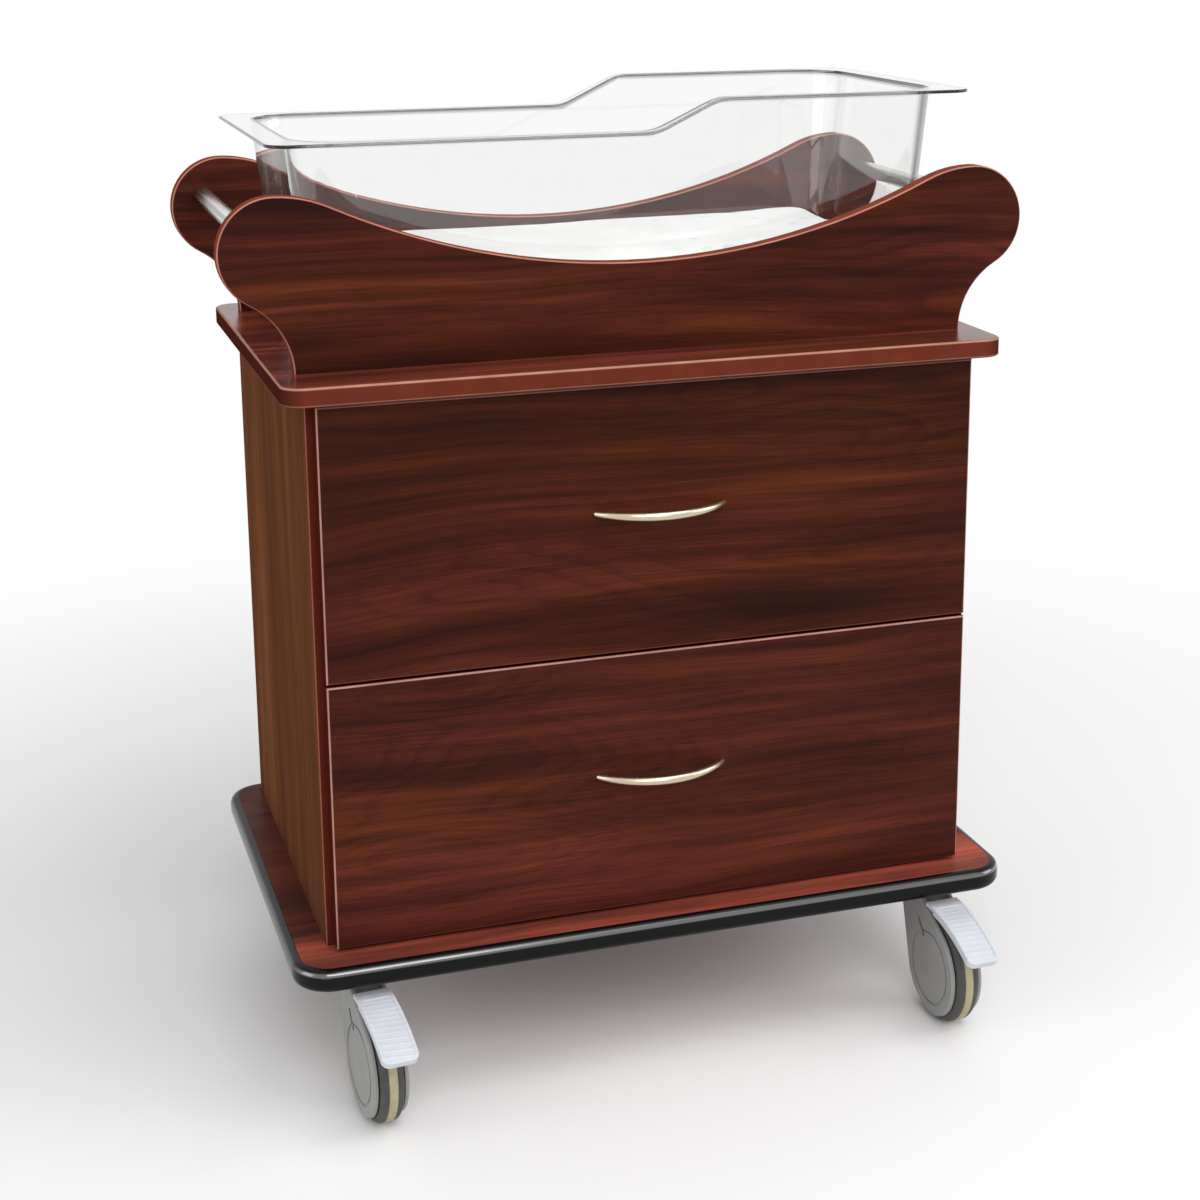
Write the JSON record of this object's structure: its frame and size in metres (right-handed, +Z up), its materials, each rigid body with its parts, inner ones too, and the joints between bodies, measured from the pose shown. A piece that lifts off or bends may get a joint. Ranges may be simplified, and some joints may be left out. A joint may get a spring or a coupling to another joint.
{
  "type": "hospital bassinet",
  "caption": "Wheeled hospital bassinet: clear lift-out tub with mattress between scrolled cradle panels, on a wood-grain cabinet with drawers, push bars, a bumper and braked casters.",
  "frame": {"origin": "on the floor under the middle of the overall outline", "axes": "+Z up, drawers face -Y, +X towards the head end of the tub"},
  "size_m": [0.872, 0.6129, 1.038],
  "materials": {
    "mahogany_laminate": "satin laminate with a mahogany grain",
    "drawer_box_board": "pale melamine-faced board",
    "black_bumper": "gloss",
    "stainless_bar": "polished stainless steel",
    "satin_nickel": "satin nickel",
    "slide_steel": "bright zinc",
    "zinc_steel": "bright zinc",
    "clear_plastic": "clear gloss",
    "mattress_cover": "woven cotton cover",
    "caster_plastic": "fine matte grain",
    "pedal_plastic": "satin",
    "tyre": "matte"
  },
  "bodies": {
    "frame": {"back_panel": "mahogany_laminate", "base_board": "mahogany_laminate", "base_bumper": "black_bumper", "base_screws": "zinc_steel", "bottom_panel": "mahogany_laminate", "caster_bolts": "zinc_steel", "caster_mounts": "zinc_steel", "cradle_screws": "zinc_steel", "divider_rail": "mahogany_laminate", "front_cradle_panel": "mahogany_laminate", "left_bar": "stainless_bar", "left_side_panel": "mahogany_laminate", "lower_slide_outer": "slide_steel", "rear_cradle_panel": "mahogany_laminate", "right_bar": "stainless_bar", "right_side_panel": "mahogany_laminate", "top_rails": "mahogany_laminate", "top_slab": "mahogany_laminate", "upper_slide_outer": "slide_steel"},
    "front_left_swivel": {"front_left_hood": "caster_plastic", "front_left_axle": "zinc_steel"},
    "front_left_wheel": {"front_left_wheel": "caster_plastic", "front_left_tyre": "tyre"},
    "front_left_brake": {"front_left_pedal": "pedal_plastic"},
    "front_right_swivel": {"front_right_hood": "caster_plastic", "front_right_axle": "zinc_steel"},
    "front_right_wheel": {"front_right_wheel": "caster_plastic", "front_right_tyre": "tyre"},
    "front_right_brake": {"front_right_pedal": "pedal_plastic"},
    "rear_left_swivel": {"rear_left_hood": "caster_plastic", "rear_left_axle": "zinc_steel"},
    "rear_left_wheel": {"rear_left_wheel": "caster_plastic", "rear_left_tyre": "tyre"},
    "rear_left_brake": {"rear_left_pedal": "pedal_plastic"},
    "rear_right_swivel": {"rear_right_hood": "caster_plastic", "rear_right_axle": "zinc_steel"},
    "rear_right_wheel": {"rear_right_wheel": "caster_plastic", "rear_right_tyre": "tyre"},
    "rear_right_brake": {"rear_right_pedal": "pedal_plastic"},
    "upper_drawer": {"upper_drawer_back": "drawer_box_board", "upper_drawer_bottom": "drawer_box_board", "upper_drawer_front": "mahogany_laminate", "upper_drawer_handle": "satin_nickel", "upper_drawer_left": "drawer_box_board", "upper_drawer_right": "drawer_box_board", "upper_handle_screws": "zinc_steel", "upper_slide_inner": "slide_steel"},
    "upper_slide_middle": {"upper_slide_middle": "slide_steel"},
    "lower_drawer": {"lower_drawer_back": "drawer_box_board", "lower_drawer_bottom": "drawer_box_board", "lower_drawer_front": "mahogany_laminate", "lower_drawer_handle": "satin_nickel", "lower_drawer_left": "drawer_box_board", "lower_drawer_right": "drawer_box_board", "lower_handle_screws": "zinc_steel", "lower_slide_inner": "slide_steel"},
    "lower_slide_middle": {"lower_slide_middle": "slide_steel"},
    "tub": {"tub": "clear_plastic"},
    "mattress": {"mattress": "mattress_cover"}
  },
  "joints": [
    {"name": "front_left_swivel", "type": "hinge", "parent": "frame", "child": "front_left_swivel", "pos_m": [-0.328, -0.1655, 0.141], "axis": [0, 0, 1], "continuous": true},
    {"name": "front_left_roll", "type": "hinge", "parent": "front_left_swivel", "child": "front_left_wheel", "pos_m": [-0.32408, -0.21033, 0.0625], "axis": [0.9962, 0.0872, 0], "continuous": true},
    {"name": "front_left_pedal", "type": "hinge", "parent": "front_left_swivel", "child": "front_left_brake", "pos_m": [-0.32591, -0.18941, 0.126], "axis": [-0.9962, -0.0872, 0], "range_deg": [-12, 0]},
    {"name": "front_right_swivel", "type": "hinge", "parent": "frame", "child": "front_right_swivel", "pos_m": [0.328, -0.1655, 0.141], "axis": [0, 0, 1], "continuous": true},
    {"name": "front_right_roll", "type": "hinge", "parent": "front_right_swivel", "child": "front_right_wheel", "pos_m": [0.32878, -0.21049, 0.0625], "axis": [0.9998, 0.0175, 0], "continuous": true},
    {"name": "front_right_pedal", "type": "hinge", "parent": "front_right_swivel", "child": "front_right_brake", "pos_m": [0.32842, -0.1895, 0.126], "axis": [-0.9998, -0.0175, 0], "range_deg": [-12, 0]},
    {"name": "rear_left_swivel", "type": "hinge", "parent": "frame", "child": "rear_left_swivel", "pos_m": [-0.328, 0.2525, 0.141], "axis": [0, 0, 1], "continuous": true},
    {"name": "rear_left_roll", "type": "hinge", "parent": "rear_left_swivel", "child": "rear_left_wheel", "pos_m": [-0.33036, 0.20756, 0.0625], "axis": [0.9986, -0.0523, 0], "continuous": true},
    {"name": "rear_left_pedal", "type": "hinge", "parent": "rear_left_swivel", "child": "rear_left_brake", "pos_m": [-0.32926, 0.22853, 0.126], "axis": [-0.9986, 0.0523, 0], "range_deg": [-12, 0]},
    {"name": "rear_right_swivel", "type": "hinge", "parent": "frame", "child": "rear_right_swivel", "pos_m": [0.328, 0.2525, 0.141], "axis": [0, 0, 1], "continuous": true},
    {"name": "rear_right_roll", "type": "hinge", "parent": "rear_right_swivel", "child": "rear_right_wheel", "pos_m": [0.33114, 0.20761, 0.0625], "axis": [0.9976, 0.0698, 0], "continuous": true},
    {"name": "rear_right_pedal", "type": "hinge", "parent": "rear_right_swivel", "child": "rear_right_brake", "pos_m": [0.32967, 0.22856, 0.126], "axis": [-0.9976, -0.0698, 0], "range_deg": [-12, 0]},
    {"name": "upper_drawer_slide", "type": "slide", "parent": "frame", "child": "upper_drawer", "axis": [0, -1, 0], "range_m": [0, 0.4]},
    {"name": "upper_slide_middle", "type": "slide", "parent": "frame", "child": "upper_slide_middle", "axis": [0, -1, 0], "range_m": [0, 0.2]},
    {"name": "lower_drawer_slide", "type": "slide", "parent": "frame", "child": "lower_drawer", "axis": [0, -1, 0], "range_m": [0, 0.4]},
    {"name": "lower_slide_middle", "type": "slide", "parent": "frame", "child": "lower_slide_middle", "axis": [0, -1, 0], "range_m": [0, 0.2]},
    {"name": "tub_lift", "type": "slide", "parent": "frame", "child": "tub", "axis": [0, 0, 1], "range_m": [0, 0.35]},
    {"name": "mattress_lift", "type": "slide", "parent": "tub", "child": "mattress", "axis": [0, 0, 1], "range_m": [0, 0.3]}
  ],
  "couplings": [
    {"joint": "upper_slide_middle", "follows": "upper_drawer_slide", "ratio": 0.5},
    {"joint": "lower_slide_middle", "follows": "lower_drawer_slide", "ratio": 0.5}
  ]
}
